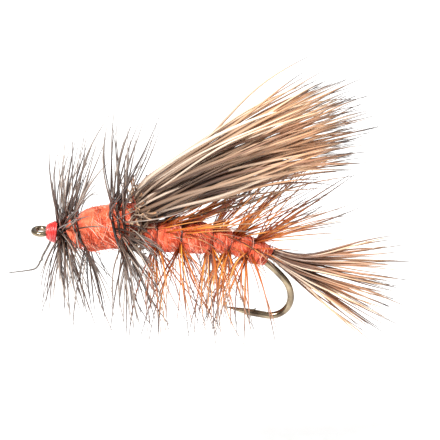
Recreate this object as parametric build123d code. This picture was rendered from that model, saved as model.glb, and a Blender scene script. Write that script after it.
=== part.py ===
from build123d import *

import math
import os
import random

# A dry fly: fur, hair and feather bound with thread to one bent hook.
# Millimetres. Origin: centre of the hook eye. +X runs from the eye along the shank to the bend, +Z is up.
# A station is a distance along the shank's centre line from the eye centre.
# A lift is a height over that line.

# ---- driving dimensions -------------------------------------------------------------------------------
# hook
WIRE_RADIUS = 0.33
EYE_WIRE_RADIUS = 0.25
EYE_RING_RADIUS = 0.65  # from the eye centre to the centre of its wire
EYE_LAND_DEPTH = 0.04  # how far the ring's inside is flattened, so that the eye is a true bore
EYE_TAPER_LENGTH = 1.5
SHANK_STRAIGHT = 14.6  # station where the shank starts to curve
SHANK_CURVE_RADIUS = 10.0
SHANK_CURVE_ANGLE = 50.0
BEND_UPPER_RADIUS = 2.9
BEND_UPPER_ANGLE = 40.0
BEND_LOWER_RADIUS = 1.88
BEND_LOWER_ANGLE = 98.0
SPEAR_LENGTH = 3.8
POINT_LENGTH = 2.2  # the tapered end of the spear
POINT_TIP_RADIUS = 0.03
BARB_HEIGHT = 0.17
BARB_LENGTH = 0.6
BARB_THICKNESS = 0.2
# thread
THREAD_BUILDUP = 0.08
WRAP_THICKNESS = 0.12
HEAD_GAP = 0.06  # bare wire between the eye's hole and the thread
HEAD_LENGTH = 0.95
HEAD_FRONT_RADIUS = 0.56
HEAD_REAR_RADIUS = 0.98
KNOT_TURNS = 3
KNOT_THREAD_RADIUS = 0.05
CEMENT_LENGTH = 0.05
# dubbing
COLLAR_LENGTH = 1.05
THORAX_FRONT_LENGTH = 1.1
THORAX_FRONT_RADIUS = 1.58
THORAX_LENGTH = 3.1
THORAX_RADIUS = 1.98
WAIST_LIFT = 0.22
THORAX_NECK_LENGTH = 1.4
THORAX_NECK_RADIUS = 2.1
THORAX_NECK_LIFT = 0.95
BODY_ON_CURVE = 5.8  # how far the body reaches along the shank's curve
ABDOMEN_SHARES = (1.25, 2.25, 2.7, 1.73, 1.7, 1.52)  # the segments' lengths against each other
ABDOMEN_RADII = (1.15, 1.42, 1.42, 1.12, 1.05, 1.08)
ABDOMEN_LIFTS = (0.0, 0.05, 0.2, 0.1, 0.25, 0.4)
GROOVE_SHARE = 0.8  # radius in a groove, as a share of the thinner segment beside it
# feathers
QUILL_RADIUS = 0.11
QUILL_PRESS = 0.03  # how far a stem turn sinks into the dubbing under it
BARB_WIDTH = 0.09
BARB_TIP_SHARE = 0.35
COLLAR_TURNS = 4
NECK_TURNS = 3
FRONT_BARBS_PER_TURN = 20
FRONT_BARB_REACH = 8.4
BODY_BARBS_PER_TURN = 16
BODY_BARB_REACH = 8.0
WING_SHADOW = 52.0  # body barbs are pressed flat within this many degrees of the top
SWEPT_BARBS = 3  # pressed barbs on each turn that lies clear under the wing
SWEPT_LEAN = 78.0
STRAY_QUILL_WIDTH = 0.12
STRAY_QUILL_POINTS = (  # from the point of the shank's line where the head ends
    (-0.5, 0, -0.5), (-0.52, 0, -1.0), (-1.33, -0.1, -2.65), (-1.81, -0.1, -3.77), (-4.3, 0.1, -4.5),
)
# hair
HAIR_WIDTH = 0.12
HAIR_TIP_SHARE = 0.35
WING_ROWS, WING_COLUMNS = 8, 8
WING_LENGTH = 21.5
WING_LOW, WING_HIGH = 20.0, 40.0  # degrees above the shank
WING_SPREAD = 9.0  # degrees to each side
WING_FOOT_DROP = 0.1  # the bunch leaves its thread this far below the crown of the first body segment
NECK_COVER = 0.1  # dubbing over the trimmed hair
WING_FOOT_HALF_WIDTH = 1.1
WING_FOOT_HALF_HEIGHT = 1.6
NECK_HAIR_HALF_HEIGHT = 1.3
WING_WRAP_LENGTH = 0.65
WRAP_GAP = 0.05  # bare hair on each side of the wing's thread
WING_ROOM = 0.4  # from the wing's foot to the first body segment
WING_BUTTS_LENGTH = 3.25
TAIL_ROWS, TAIL_COLUMNS = 6, 5
TAIL_LENGTH = 12.0
TAIL_LOW, TAIL_HIGH = -36.0, 13.0
TAIL_SPREAD = 12.0
HAIR_PRESS = 0.05  # how far the tail hair's underside is pressed into the thread on the shank
TAIL_FOOT_RADIUS = 0.46
TAIL_WRAP_LENGTH = 0.3
TAIL_BUTTS_LENGTH = 3.2
FLEX_CLEARANCE = 0.15  # between bound hair and the hair that bends

# ---- stations that follow from them -------------------------------------------------------------------
EYE_BORE_RADIUS = EYE_RING_RADIUS - EYE_WIRE_RADIUS + EYE_LAND_DEPTH
CORE_RADIUS = WIRE_RADIUS + THREAD_BUILDUP
HEAD_START = EYE_BORE_RADIUS + HEAD_GAP
HEAD_END = HEAD_START + HEAD_LENGTH
COLLAR_END = HEAD_END + COLLAR_LENGTH
THORAX_WAIST = COLLAR_END + THORAX_FRONT_LENGTH
THORAX_END = THORAX_WAIST + THORAX_LENGTH
NECK_END = THORAX_END + THORAX_NECK_LENGTH
WING_FOOT = NECK_END + WING_WRAP_LENGTH + 2 * WRAP_GAP
ABDOMEN_START = WING_FOOT + WING_ROOM
ABDOMEN_END = SHANK_STRAIGHT + BODY_ON_CURVE
SHARE_LENGTH = (ABDOMEN_END - ABDOMEN_START) / sum(ABDOMEN_SHARES)
ABDOMEN_LENGTHS = [share * SHARE_LENGTH for share in ABDOMEN_SHARES]
TAIL_FOOT = ABDOMEN_END + TAIL_WRAP_LENGTH
WING_FOOT_LIFT = ABDOMEN_RADII[0] + WING_FOOT_HALF_HEIGHT - WING_FOOT_DROP
NECK_HAIR_LIFT = THORAX_NECK_LIFT + THORAX_NECK_RADIUS - NECK_COVER - NECK_HAIR_HALF_HEIGHT
TAIL_FOOT_LIFT = CORE_RADIUS + TAIL_FOOT_RADIUS - HAIR_PRESS

random.seed(8)


# ---- the shank's centre line --------------------------------------------------------------------------
def shank_plane(station, lift=0.0):
    """A plane across the shank. Its normal points to the rear and its x direction up."""
    angle = max(0.0, station - SHANK_STRAIGHT) / SHANK_CURVE_RADIUS
    x = min(station, SHANK_STRAIGHT) + SHANK_CURVE_RADIUS * math.sin(angle)
    z = -SHANK_CURVE_RADIUS * (1 - math.cos(angle))
    along = Vector(math.cos(angle), 0, -math.sin(angle))
    up = Vector(math.sin(angle), 0, math.cos(angle))
    return Plane(origin=Vector(x, 0, z) + up * lift, x_dir=up, z_dir=along)


def bent_bar(plane, radius, bend_radius, turn):
    """A round bar that bends down and round from a section plane, and the section plane at its far end."""
    centre = plane.origin - plane.x_dir * bend_radius
    bar = revolve(plane * Circle(radius), Axis(centre, Vector(0, 1, 0)), turn)
    origin = (plane.origin - centre).rotate(Axis.Y, turn) + centre
    end = Plane(origin=origin, x_dir=plane.x_dir.rotate(Axis.Y, turn), z_dir=plane.z_dir.rotate(Axis.Y, turn))
    return bar, end


def shank_bar(start, end, radius):
    """A round bar of one radius along the shank, from its straight part into its curve."""
    straight = extrude(shank_plane(start) * Circle(radius), SHANK_STRAIGHT - start)
    turn = math.degrees((end - SHANK_STRAIGHT) / SHANK_CURVE_RADIUS)
    curved, _ = bent_bar(shank_plane(SHANK_STRAIGHT), radius, SHANK_CURVE_RADIUS, turn)
    return straight + curved


# ---- small builders -----------------------------------------------------------------------------------
def fibre(root, tip, root_width, tip_share):
    """One straight tapered fibre with four flat sides."""
    along = (tip - root).normalized()
    side = along.cross(Vector(0, 0, 1) if abs(along.Z) < 0.9 else Vector(1, 0, 0)).normalized()
    other = along.cross(side)

    def corners(point, width):
        signs = ((-1, -1), (1, -1), (1, 1), (-1, 1))
        return [point + side * (width / 2 * a) + other * (width / 2 * b) for a, b in signs]

    lower = corners(root, root_width)
    upper = corners(tip, root_width * tip_share)
    outlines = [lower[::-1], upper]
    for i in range(4):
        j = (i + 1) % 4
        outlines.append([lower[i], lower[j], upper[j], upper[i]])
    return Solid(Shell([Face(Wire.make_polygon(outline)) for outline in outlines]))


def bulged(start, end, radius, start_radius, end_radius, start_lift, end_lift):
    """A barrel of dubbing wound between two stations."""
    sections = []
    for share, bulge in ((0.0, 0.0), (0.22, 0.72), (0.5, 1.0), (0.78, 0.72), (1.0, 0.0)):
        ends = start_radius + (end_radius - start_radius) * share
        lift = start_lift + (end_lift - start_lift) * share
        plane = shank_plane(start + (end - start) * share, lift)
        sections.append(plane * Circle(ends + (radius - ends) * bulge))
    return loft(sections)


def oval_bundle(sections):
    """A bundle of bound hair through (station, lift, half width, half height) sections."""
    return loft([shank_plane(s, lift) * Ellipse(high, wide) for s, lift, wide, high in sections])


def quill_turn(station, lift, base_radius):
    """One turn of a feather's stem round a base of the given radius."""
    return shank_plane(station, lift) * Torus(base_radius + QUILL_RADIUS, QUILL_RADIUS)


def barb(station, lift, root_radius, around, lean, length):
    """One barb of a wound feather: around is its angle from the top, lean is its tilt to the rear."""
    plane = shank_plane(station, lift)
    around, lean = math.radians(around), math.radians(lean)
    out = plane.x_dir * math.cos(around) + plane.y_dir * math.sin(around)
    direction = out * math.cos(lean) + plane.z_dir * math.sin(lean)
    root = plane.origin + out * root_radius
    return fibre(root, root + direction * length, BARB_WIDTH, BARB_TIP_SHARE)


def hair_fan(centre, up, half_width, half_height, rows, columns, low, high, spread, length):
    """A bunch of hairs that opens out from a bound foot, with its rows staggered so that none cross."""
    hairs = []
    for row in range(rows):
        height = 2 * row / (rows - 1) - 1
        row_width = math.sqrt(1 - 0.45 * height * height)
        for column in range(columns):
            across = row_width * (2 * (column + 0.5 * (row % 2)) / (columns - 0.5) - 1)
            elevation = math.radians(low + (high - low) * (height + 1) / 2)
            swing = math.radians(spread * across)
            root = centre + up * (half_height * height) + Vector(0, half_width * across, 0)
            flat = Vector(math.cos(elevation), 0, math.sin(elevation))
            aim = flat * math.cos(swing) + Vector(0, math.sin(swing), 0)
            tip = root + aim * (length * random.uniform(0.9, 1.0))
            hairs.append(fibre(root, tip, HAIR_WIDTH, HAIR_TIP_SHARE))
    return hairs


# ---- hook: eye, shank, bend, spear, point and barb, all one wire --------------------------------------
def make_hook():
    taper_end = EYE_RING_RADIUS + EYE_TAPER_LENGTH
    taper_front = shank_plane(EYE_RING_RADIUS) * Circle(EYE_WIRE_RADIUS)
    taper = loft([taper_front, shank_plane(taper_end) * Circle(WIRE_RADIUS)])
    curve_end = SHANK_STRAIGHT + SHANK_CURVE_RADIUS * math.radians(SHANK_CURVE_ANGLE)
    shank = shank_bar(taper_end, curve_end, WIRE_RADIUS)
    upper, plane = bent_bar(shank_plane(curve_end), WIRE_RADIUS, BEND_UPPER_RADIUS, BEND_UPPER_ANGLE)
    lower, plane = bent_bar(plane, WIRE_RADIUS, BEND_LOWER_RADIUS, BEND_LOWER_ANGLE)

    straight_length = SPEAR_LENGTH - POINT_LENGTH
    spear = extrude(plane * Circle(WIRE_RADIUS), straight_length)
    inner = plane.x_dir * -1  # towards the shank
    point_start = plane.offset(straight_length)
    tip_origin = point_start.origin + plane.z_dir * POINT_LENGTH + inner * (WIRE_RADIUS * 0.4)
    tip_plane = Plane(origin=tip_origin, x_dir=plane.x_dir, z_dir=plane.z_dir)
    point = loft([point_start * Circle(WIRE_RADIUS), tip_plane * Circle(POINT_TIP_RADIUS)])

    buried = point_start.origin + inner * (WIRE_RADIUS * 0.6)
    barb_tip = point_start.origin - plane.z_dir * BARB_LENGTH + inner * (WIRE_RADIUS + BARB_HEIGHT)
    barb_heel = buried - plane.z_dir * (BARB_LENGTH * 0.4)
    outline = Face(Wire.make_polygon([buried, barb_tip, barb_heel]))
    cut_barb = extrude(outline, BARB_THICKNESS / 2, dir=(0, 1, 0), both=True)

    ring = Torus(EYE_RING_RADIUS, EYE_WIRE_RADIUS)
    wire = ring + taper + shank + upper + lower + spear + point + cut_barb
    return wire - Cylinder(EYE_BORE_RADIUS, 4 * EYE_WIRE_RADIUS)


hook = make_hook()
core = shank_bar(HEAD_END, TAIL_FOOT + 0.1, CORE_RADIUS)
nodes = {"hook": [hook], "thread_underwrap": [core - hook]}


# ---- tail: trimmed butts along the shank, thread over them, and the fan behind ------------------------
butts_sections = []
for share in (0.0, 0.5, 1.0):
    station = TAIL_FOOT - TAIL_BUTTS_LENGTH * (1 - share)
    lift = CORE_RADIUS + (TAIL_FOOT_LIFT - CORE_RADIUS) * share
    radius = TAIL_FOOT_RADIUS * (0.35 + 0.65 * share)
    butts_sections.append((station, lift, radius, radius))
tail_bundle = oval_bundle(butts_sections)
tail_butts = tail_bundle - core
wrap_top = TAIL_FOOT_LIFT + TAIL_FOOT_RADIUS + WRAP_THICKNESS
wrap_bottom = -(CORE_RADIUS + WRAP_THICKNESS)
wrap_oval = Ellipse((wrap_top - wrap_bottom) / 2, CORE_RADIUS + 1.6 * WRAP_THICKNESS)
wrap_plane = shank_plane(ABDOMEN_END, (wrap_top + wrap_bottom) / 2)
tail_wraps = extrude(wrap_plane * wrap_oval, TAIL_WRAP_LENGTH * 0.9) - core - tail_bundle
tail_plane = shank_plane(TAIL_FOOT + FLEX_CLEARANCE, TAIL_FOOT_LIFT)
nodes["tail_butts"] = [tail_butts]
nodes["tail_wraps"] = [tail_wraps]
nodes["tail_hair"] = hair_fan(
    tail_plane.origin, tail_plane.x_dir, TAIL_FOOT_RADIUS * 0.8, TAIL_FOOT_RADIUS * 0.8,
    TAIL_ROWS, TAIL_COLUMNS, TAIL_LOW, TAIL_HIGH, TAIL_SPREAD, TAIL_LENGTH,
)


# ---- wing: trimmed butts under the thorax, thread over them, and the swept-back bunch -----------------
wide, neck_high = WING_FOOT_HALF_WIDTH, NECK_HAIR_HALF_HEIGHT
wing_butts_front = WING_FOOT - WING_BUTTS_LENGTH
wing_bundle = oval_bundle([
    (wing_butts_front, CORE_RADIUS, wide * 0.3, neck_high * 0.4),
    ((wing_butts_front + NECK_END) / 2, NECK_HAIR_LIFT * 0.7, wide * 0.7, neck_high * 0.8),
    (NECK_END, NECK_HAIR_LIFT, wide * 0.9, neck_high),
    (WING_FOOT, WING_FOOT_LIFT, wide, WING_FOOT_HALF_HEIGHT),
])
wing_butts = wing_bundle - core
wrap_top = WING_FOOT_LIFT + WING_FOOT_HALF_HEIGHT + WRAP_THICKNESS
wrap_oval = Ellipse((wrap_top - wrap_bottom) / 2, WING_FOOT_HALF_WIDTH + 1.8 * WRAP_THICKNESS)
wrap_plane = shank_plane(NECK_END + WRAP_GAP, (wrap_top + wrap_bottom) / 2)
wing_wraps = extrude(wrap_plane * wrap_oval, WING_WRAP_LENGTH) - core - wing_bundle
wing_plane = shank_plane(WING_FOOT + FLEX_CLEARANCE, WING_FOOT_LIFT)
nodes["wing_butts"] = [wing_butts]
nodes["wing_wraps"] = [wing_wraps]
nodes["wing_hair"] = hair_fan(
    wing_plane.origin, wing_plane.x_dir, WING_FOOT_HALF_WIDTH, WING_FOOT_HALF_HEIGHT,
    WING_ROWS, WING_COLUMNS, WING_LOW, WING_HIGH, WING_SPREAD, WING_LENGTH,
)


# ---- feather stems: the ginger one lies in the abdomen's grooves, the grizzly one crosses the thorax --
body_turns = []  # (station, lift, base radius) of each turn
station = ABDOMEN_START
for i in range(len(ABDOMEN_LENGTHS) - 1):
    station += ABDOMEN_LENGTHS[i]
    groove_radius = GROOVE_SHARE * min(ABDOMEN_RADII[i], ABDOMEN_RADII[i + 1])
    groove_lift = (ABDOMEN_LIFTS[i] + ABDOMEN_LIFTS[i + 1]) / 2
    body_turns.append((station, groove_lift, groove_radius - QUILL_PRESS))
front_turns = []
for i in range(COLLAR_TURNS):
    station = HEAD_END + COLLAR_LENGTH * (i + 0.6) / (COLLAR_TURNS + 0.2)
    front_turns.append((station, 0.0, CORE_RADIUS))
waist_radius = GROOVE_SHARE * THORAX_FRONT_RADIUS
front_turns.append((THORAX_WAIST, WAIST_LIFT, waist_radius - QUILL_PRESS))
for i in range(NECK_TURNS):
    station = THORAX_END + THORAX_NECK_LENGTH * (i + 0.5) / NECK_TURNS
    front_turns.append((station, THORAX_NECK_LIFT, THORAX_NECK_RADIUS - QUILL_PRESS))
nodes["body_hackle_quill"] = [quill_turn(*turn) for turn in body_turns]
nodes["front_hackle_quill"] = [quill_turn(*turn) for turn in front_turns]


# ---- dubbing ------------------------------------------------------------------------------------------
def cleared(solid, inner):
    """Dubbing with room for the shank's core, the hair bound under it and the stem turns pressed into it."""
    for piece in inner:
        solid = solid - piece
    return solid


grooves = [(ABDOMEN_LIFTS[0], GROOVE_SHARE * ABDOMEN_RADII[0])]  # (lift, radius) at each end of the segments
grooves += [(lift, base_radius + QUILL_PRESS) for _, lift, base_radius in body_turns]
grooves += [(ABDOMEN_LIFTS[-1], GROOVE_SHARE * ABDOMEN_RADII[-1])]
segments = []
station = ABDOMEN_START
for i, length in enumerate(ABDOMEN_LENGTHS):
    front_lift, front_radius = grooves[i]
    rear_lift, rear_radius = grooves[i + 1]
    segment = bulged(
        station, station + length, ABDOMEN_RADII[i], front_radius, rear_radius, front_lift, rear_lift
    )
    segments.append(cleared(segment, [core, tail_bundle] + nodes["body_hackle_quill"]))
    station += length
nodes["abdomen_dubbing"] = segments

thorax_front = bulged(
    COLLAR_END, THORAX_WAIST, THORAX_FRONT_RADIUS, waist_radius, waist_radius, 0, WAIST_LIFT
)
thorax_main = bulged(
    THORAX_WAIST, THORAX_END, THORAX_RADIUS,
    waist_radius, THORAX_NECK_RADIUS, WAIST_LIFT, THORAX_NECK_LIFT,
)
neck_plane = shank_plane(THORAX_END, THORAX_NECK_LIFT)
thorax_neck = extrude(neck_plane * Circle(THORAX_NECK_RADIUS), THORAX_NECK_LENGTH)
thorax = cleared(thorax_front + thorax_main + thorax_neck, [core, wing_bundle] + nodes["front_hackle_quill"])
nodes["thorax_dubbing"] = [thorax]


# ---- feather barbs, one node for each turn ------------------------------------------------------------
for number, (station, lift, base_radius) in enumerate(body_turns, 1):
    barbs = []
    root_radius = base_radius + 2 * QUILL_RADIUS
    for i in range(BODY_BARBS_PER_TURN):
        around = WING_SHADOW + (360 - 2 * WING_SHADOW) * i / (BODY_BARBS_PER_TURN - 1)
        lean = random.uniform(6, 24)
        reach = BODY_BARB_REACH * random.uniform(0.9, 1.03)
        barbs.append(barb(station, lift, root_radius, around, lean, reach))
    under_wing = station > ABDOMEN_START + sum(ABDOMEN_LENGTHS[:2]) + 0.1
    for i in range(SWEPT_BARBS if under_wing else 0):
        around = 15.0 * (i - (SWEPT_BARBS - 1) / 2)
        lean = SWEPT_LEAN - random.uniform(0, 4)
        reach = BODY_BARB_REACH * random.uniform(0.8, 1.0)
        barbs.append(barb(station, lift, root_radius, around, lean, reach))
    nodes[f"body_hackle_turn_{number}"] = barbs

for number, (station, lift, base_radius) in enumerate(front_turns, 1):
    barbs = []
    root_radius = base_radius + 2 * QUILL_RADIUS
    for i in range(FRONT_BARBS_PER_TURN):
        around = 360 * (i + 0.5 * (number % 2)) / FRONT_BARBS_PER_TURN
        below = (1 - math.cos(math.radians(around))) / 2  # 0 on top, 1 underneath
        lean = random.uniform(-2, 9) + 14 * below * random.random()
        reach = FRONT_BARB_REACH * random.uniform(0.86, 1.0)
        barbs.append(barb(station, lift, root_radius, around, lean, reach))
    nodes[f"front_hackle_turn_{number}"] = barbs


# ---- head: thread cone, finishing knot, varnish and the loose stem end --------------------------------
def head_radius(station):
    share = (station - HEAD_START) / HEAD_LENGTH
    return HEAD_FRONT_RADIUS + (HEAD_REAR_RADIUS - HEAD_FRONT_RADIUS) * share


cone = loft([shank_plane(s) * Circle(head_radius(s)) for s in (HEAD_START, HEAD_END)])
knot = []
for i in range(KNOT_TURNS):
    station = HEAD_START + KNOT_THREAD_RADIUS * (1.4 + 2.2 * i)
    turn_radius = head_radius(station) + KNOT_THREAD_RADIUS * 0.5
    knot.append(shank_plane(station) * Torus(turn_radius, KNOT_THREAD_RADIUS))
head = cleared(cone, [hook] + knot)
cement_front = shank_plane(HEAD_START - CEMENT_LENGTH) * Circle(HEAD_FRONT_RADIUS * 0.75)
cement = loft([cement_front, shank_plane(HEAD_START) * Circle(HEAD_FRONT_RADIUS * 0.97)]) - hook
nodes["head_thread"] = [head]
nodes["whip_finish"] = knot
nodes["head_cement"] = cement.solids()

head_end_point = shank_plane(HEAD_END).origin
stray_path = Polyline(*[head_end_point + Vector(*point) for point in STRAY_QUILL_POINTS])
stray_plane = Plane(origin=stray_path @ 0, z_dir=stray_path % 0)
stray_section = stray_plane * Rectangle(STRAY_QUILL_WIDTH, STRAY_QUILL_WIDTH)
stray_quill = sweep(stray_section, stray_path, transition=Transition.RIGHT)
nodes["stray_quill"] = [stray_quill - cone]


# ---- one STEP file for each node ----------------------------------------------------------------------
os.makedirs("parts", exist_ok=True)
for name, solids in nodes.items():
    shape = solids[0] if len(solids) == 1 else Compound(children=[s.solid() for s in solids])
    export_step(shape, f"parts/{name}.step")
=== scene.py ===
import math
import random

import bmesh
import bpy
import numpy as np
from mathutils import Matrix, Vector, noise


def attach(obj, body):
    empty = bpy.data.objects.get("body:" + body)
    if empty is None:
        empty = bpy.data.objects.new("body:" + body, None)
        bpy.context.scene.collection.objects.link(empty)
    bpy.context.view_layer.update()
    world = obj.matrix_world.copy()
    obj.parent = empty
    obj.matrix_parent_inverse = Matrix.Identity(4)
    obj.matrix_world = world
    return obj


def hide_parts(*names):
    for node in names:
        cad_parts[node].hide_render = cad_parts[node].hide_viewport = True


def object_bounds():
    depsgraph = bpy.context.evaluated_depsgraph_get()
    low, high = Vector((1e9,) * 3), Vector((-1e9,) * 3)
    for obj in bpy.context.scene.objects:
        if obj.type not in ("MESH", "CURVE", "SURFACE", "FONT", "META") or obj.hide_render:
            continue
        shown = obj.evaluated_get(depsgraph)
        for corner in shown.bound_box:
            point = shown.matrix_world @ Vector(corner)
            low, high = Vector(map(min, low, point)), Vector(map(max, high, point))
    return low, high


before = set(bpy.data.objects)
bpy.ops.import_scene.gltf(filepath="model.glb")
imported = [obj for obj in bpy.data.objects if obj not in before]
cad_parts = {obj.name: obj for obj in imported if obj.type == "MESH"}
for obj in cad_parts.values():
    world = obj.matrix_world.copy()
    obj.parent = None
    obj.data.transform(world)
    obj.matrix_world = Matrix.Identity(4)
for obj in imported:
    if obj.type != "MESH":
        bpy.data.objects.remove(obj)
cad_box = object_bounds()


# ---- hook ---------------------------------------------------------------------------------
# One length of carbon steel wire, bent to an eye, shank, bend, spear and barbed point. It is
# hardened, then dipped in a brown bronzing lacquer that pools a little unevenly, so the wire
# is dark olive-brown with one bright line where it catches the light.
MM = 0.001  # sizes are written in millimetres; the scene is in metres
LACQUER_THIN, LACQUER_THICK = "#A8967A", "#4A3A2A"
LACQUER_PATCH = 1.2
WIRE_GRAIN = 0.08


def linear(colour):
    """A colour written as sRGB hex, as the linear RGBA that a shader works in."""
    channels = [int(colour[i:i + 2], 16) / 255 for i in (1, 3, 5)]
    curve = [c / 12.92 if c <= 0.04045 else ((c + 0.055) / 1.055) ** 2.4 for c in channels]
    return (*curve, 1.0)


def add_node(material, kind, inputs=None, stops=None, **settings):
    """One node of a material with its settings. An input is a value or the socket that feeds it."""
    tree = material.node_tree
    surface = "ShaderNodeBsdfPrincipled"
    node = tree.nodes["Principled BSDF"] if kind == surface else tree.nodes.new(kind)
    for name, value in settings.items():
        setattr(node, name, value)
    for i, (place, colour) in enumerate(stops or ()):
        elements = node.color_ramp.elements
        element = elements[i] if i < len(elements) else elements.new(1.0)
        element.position = place
        element.color = linear(colour)
    for name, value in (inputs or {}).items():
        if isinstance(value, bpy.types.NodeSocket):
            tree.links.new(value, node.inputs[name])
        else:
            node.inputs[name].default_value = value
    return node


bronzed_wire = bpy.data.materials.new("bronze lacquered carbon steel")
bronzed_wire.use_nodes = True
place = add_node(bronzed_wire, "ShaderNodeTexCoord").outputs["Object"]
pooling = add_node(bronzed_wire, "ShaderNodeTexNoise", {
    "Vector": place, "Scale": 1 / (LACQUER_PATCH * MM), "Detail": 3.0,
})
lacquer = add_node(bronzed_wire, "ShaderNodeValToRGB", {"Fac": pooling.outputs["Fac"]}, stops=(
    (0.3, LACQUER_THICK), (0.7, LACQUER_THIN),
))
drawn = add_node(bronzed_wire, "ShaderNodeTexNoise", {
    "Vector": place, "Scale": 1 / (WIRE_GRAIN * MM),
})
drawn_marks = add_node(bronzed_wire, "ShaderNodeBump", {
    "Height": drawn.outputs["Fac"], "Strength": 0.06, "Distance": 0.02 * MM,
})
add_node(bronzed_wire, "ShaderNodeBsdfPrincipled", {
    "Base Color": lacquer.outputs["Color"], "Metallic": 1.0, "Roughness": 0.2,
    "Coat Weight": 0.6, "Coat Roughness": 0.08, "Normal": drawn_marks.outputs["Normal"],
})
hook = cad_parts["hook"]
hook.data.materials.clear()
hook.data.materials.append(bronzed_wire)


# ---- thread under everything --------------------------------------------------------------
# Waxed tying thread laid along the shank in touching turns, so that fur and feather grip the
# wire. Almost all of it is buried; its layers show as low ribs where it comes out.
# The second colour is painted shade for the grooves between the turns of thread.
THREAD_ORANGE, THREAD_PAINTED_GROOVE_SHADE = "#E8552A", "#A82F12"
THREAD_RIB = 0.6283
WAVES_PER_SCALE = 20 / math.tau  # the wave texture's own count of waves in a length of one

tying_thread = bpy.data.materials.new("waxed polyester tying thread orange")
tying_thread.use_nodes = True
place = add_node(tying_thread, "ShaderNodeTexCoord").outputs["Object"]
turns = add_node(tying_thread, "ShaderNodeTexWave", {
    "Vector": place, "Scale": 1 / (THREAD_RIB * MM * WAVES_PER_SCALE), "Distortion": 0.6,
}, wave_type="BANDS", bands_direction="X")
ribs = add_node(tying_thread, "ShaderNodeBump", {
    "Height": turns.outputs["Fac"], "Strength": 0.6, "Distance": 0.03 * MM,
})
# The low parts of the bands, the grooves between turns, are painted dark red as shade; the raised
# turns keep the orange.
dye_and_painted_groove_shade = add_node(tying_thread, "ShaderNodeValToRGB", {"Fac": turns.outputs["Fac"]}, stops=(
    (0.0, THREAD_PAINTED_GROOVE_SHADE), (0.6, THREAD_ORANGE),
))
add_node(tying_thread, "ShaderNodeBsdfPrincipled", {
    "Base Color": dye_and_painted_groove_shade.outputs["Color"], "Roughness": 0.42, "Normal": ribs.outputs["Normal"],
})
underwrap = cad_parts["thread_underwrap"]
underwrap.data.materials.clear()
underwrap.data.materials.append(tying_thread)


# ---- tail ---------------------------------------------------------------------------------
# A small bunch of deer body hair tied in by its middle, tips behind. Each hair is a hollow
# tube, dark at the root, tan further out, and drawn to a near-black point. The thread flares
# the bunch into a fan; its trimmed ends lie forward along the shank, inside the body.
TAIL_FOOT_STATION, TAIL_FOOT_LIFT, TAIL_FOOT_RADIUS = 20.78, 1.05, 0.5
TAIL_COUNT = 66
TAIL_LENGTH = 13.7
TAIL_LOW, TAIL_HIGH, TAIL_SPREAD = -41.0, 16.0, 13.0
TAIL_HAIR_RADIUS = 0.115
TAIL_LENGTHS, TAIL_THICKNESSES = (0.78, 1.0), (0.7, 1.2)  # shares of the full size
TAIL_TURNED_BY, TAIL_WAVER, TAIL_DROOP = 0.35, 0.09, 0.06
HAIR_RINGS = 12
HAIR_TAPER = ((0.0, 0.1, 0.55, 0.8, 1.0), (0.72, 1.0, 0.85, 0.5, 0.12))
TAIL_BUTTS, BUTT_RINGS = 40, 6
TAIL_BUTTS_STATION, TAIL_BUTTS_LENGTH = 20.7, 3.2
TAIL_BUTTS_LIFT, TAIL_BUTTS_RISE, TAIL_BUTTS_SPREAD = 0.44, 0.38, 0.3
TAIL_BUTT_RADIUS = 0.05
SHANK_STRAIGHT, SHANK_CURVE_RADIUS = 14.6, 10.0
STRIPS = 64  # strands share this many strips of the UV map; each strip has its own shade
GOLDEN_ANGLE = 2.39996  # a turn of this many radians each time spreads points over a disc


def shank(station, lift=0.0):
    """A point over the shank's centre line, and the directions along it and up from it."""
    angle = max(0.0, station - SHANK_STRAIGHT) / SHANK_CURVE_RADIUS
    along = np.array((math.cos(angle), 0.0, -math.sin(angle)))
    up = np.array((math.sin(angle), 0.0, math.cos(angle)))
    x = min(station, SHANK_STRAIGHT) + SHANK_CURVE_RADIUS * math.sin(angle)
    z = -SHANK_CURVE_RADIUS * (1 - math.cos(angle))
    return np.array((x, 0.0, z)) + up * lift, along, up


def unit(vector):
    return vector / np.maximum(np.linalg.norm(vector, axis=-1, keepdims=True), 1e-9)


def strand_form(sides, rings):
    """A closed straight strand of unit size, ready to be bent, with the strands' UV map."""
    form = bmesh.new()
    uv = form.loops.layers.uv.new("OFBake")
    bmesh.ops.create_cone(form, cap_ends=True, segments=sides, radius1=1, radius2=1, depth=1)
    bmesh.ops.translate(form, verts=form.verts, vec=(0, 0, 0.5))
    upright = [e for e in form.edges if abs(e.verts[0].co.z - e.verts[1].co.z) > 0.5]
    bmesh.ops.subdivide_edges(form, edges=upright, cuts=rings - 1, use_grid_fill=True)
    for face in form.faces:
        face.smooth = True
        spots = [math.atan2(loop.vert.co.y, loop.vert.co.x) / math.tau % 1 for loop in face.loops]
        if len({round(loop.vert.co.z, 4) for loop in face.loops}) == 1:
            spots = [0.5] * len(spots)
        elif max(spots) - min(spots) > 0.5:
            spots = [s + 1 if s < 0.5 else s for s in spots]
        for loop, spot in zip(face.loops, spots):
            loop[uv].uv = (0.1 + 0.8 * spot / 1.5, loop.vert.co.z)
    mesh = bpy.data.meshes.new("strand")
    form.to_mesh(mesh)
    form.free()
    at = np.zeros(len(mesh.vertices) * 3)
    mesh.vertices.foreach_get("co", at)
    at = at.reshape(-1, 3)
    spread = np.zeros(len(mesh.loops) * 2)
    mesh.uv_layers["OFBake"].data.foreach_get("uv", spread)
    return mesh, np.rint(at[:, 2] * rings).astype(int), at[:, :2], spread.reshape(-1, 2)


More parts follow.
